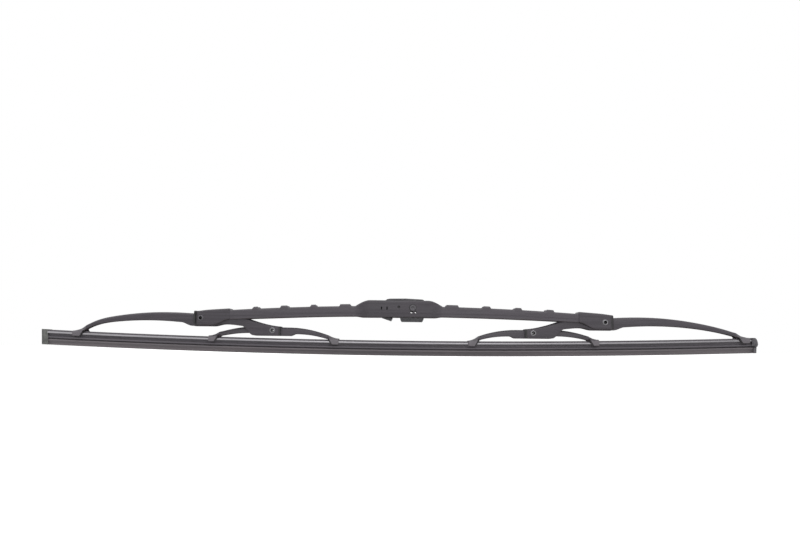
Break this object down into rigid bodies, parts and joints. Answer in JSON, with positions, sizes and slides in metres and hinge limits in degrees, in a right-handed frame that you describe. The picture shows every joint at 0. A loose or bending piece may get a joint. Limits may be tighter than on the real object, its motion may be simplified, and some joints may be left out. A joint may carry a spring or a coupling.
{
  "type": "wiper blade",
  "caption": "Conventional bracket wiper blade: pressed steel bridge and hinged yokes on hollow rivets, with claws that hold a bowed rubber element, and a hook arm adapter.",
  "frame": {"origin": "on the axis of the cross pin that the arm adapter clips on, at mid width, where the wiper arm's hook holds the blade", "axes": "+X along the blade towards its longer arm, +Y across the blade, +Z away from the glass"},
  "size_m": [0.5326, 0.0164, 0.0422],
  "materials": {
    "painted_steel": "satin black paint",
    "rivet_steel": "plain steel",
    "rail_steel": "bright spring steel",
    "rubber": "matt, graphited",
    "nylon": "matt",
    "moulding": "fine moulded"
  },
  "bodies": {
    "adapter": {"arm_adapter": "moulding"},
    "bridge": {"primary_bridge": "painted_steel", "bridge_pin": "rivet_steel", "left_bridge_rivet": "rivet_steel", "right_bridge_rivet": "rivet_steel", "left_bridge_liner": "nylon", "right_bridge_liner": "nylon"},
    "left_secondary": {"left_secondary_yoke": "painted_steel", "left_yoke_rivet": "rivet_steel", "left_yoke_liner": "nylon", "rail_stop": "nylon"},
    "right_secondary": {"right_secondary_yoke": "painted_steel", "right_yoke_rivet": "rivet_steel", "right_yoke_liner": "nylon", "end_clip": "nylon"},
    "left_tertiary": {"left_tertiary_yoke": "painted_steel"},
    "right_tertiary": {"right_tertiary_yoke": "painted_steel"},
    "element": {"rubber_element": "rubber", "front_rail": "rail_steel", "rear_rail": "rail_steel"}
  },
  "joints": [
    {"name": "bridge_tilt", "type": "hinge", "parent": "adapter", "child": "bridge", "pos_m": [0, 0, 0], "axis": [0, 1, 0], "range_deg": [-12, 12]},
    {"name": "left_flex", "type": "hinge", "parent": "bridge", "child": "left_secondary", "pos_m": [-0.1572, 0, -0.0091], "axis": [0, 1, 0], "range_deg": [-6, 3], "stiffness_Nm_per_rad": 1.4},
    {"name": "right_flex", "type": "hinge", "parent": "bridge", "child": "right_secondary", "pos_m": [0.1428, 0, -0.0091], "axis": [0, 1, 0], "range_deg": [-3, 6]},
    {"name": "left_inner_flex", "type": "hinge", "parent": "left_secondary", "child": "left_tertiary", "pos_m": [-0.1041, 0, -0.0176], "axis": [0, 1, 0], "range_deg": [-1.3, 2.6]},
    {"name": "right_inner_flex", "type": "hinge", "parent": "right_secondary", "child": "right_tertiary", "pos_m": [0.0897, 0, -0.0176], "axis": [0, 1, 0], "range_deg": [-2.6, 1.3]},
    {"name": "element_flex", "type": "slide", "parent": "bridge", "child": "element", "axis": [0, 0, 1], "range_m": [-0.0043, 0.0086], "deforming": ["rubber_element", "front_rail", "rear_rail"]}
  ],
  "couplings": [
    {"joint": "right_flex", "follows": "left_flex", "ratio": -1},
    {"joint": "left_inner_flex", "follows": "left_flex", "ratio": -0.425},
    {"joint": "right_inner_flex", "follows": "left_flex", "ratio": 0.425},
    {"joint": "element_flex", "follows": "left_flex", "m_per_rad": -0.0792}
  ]
}
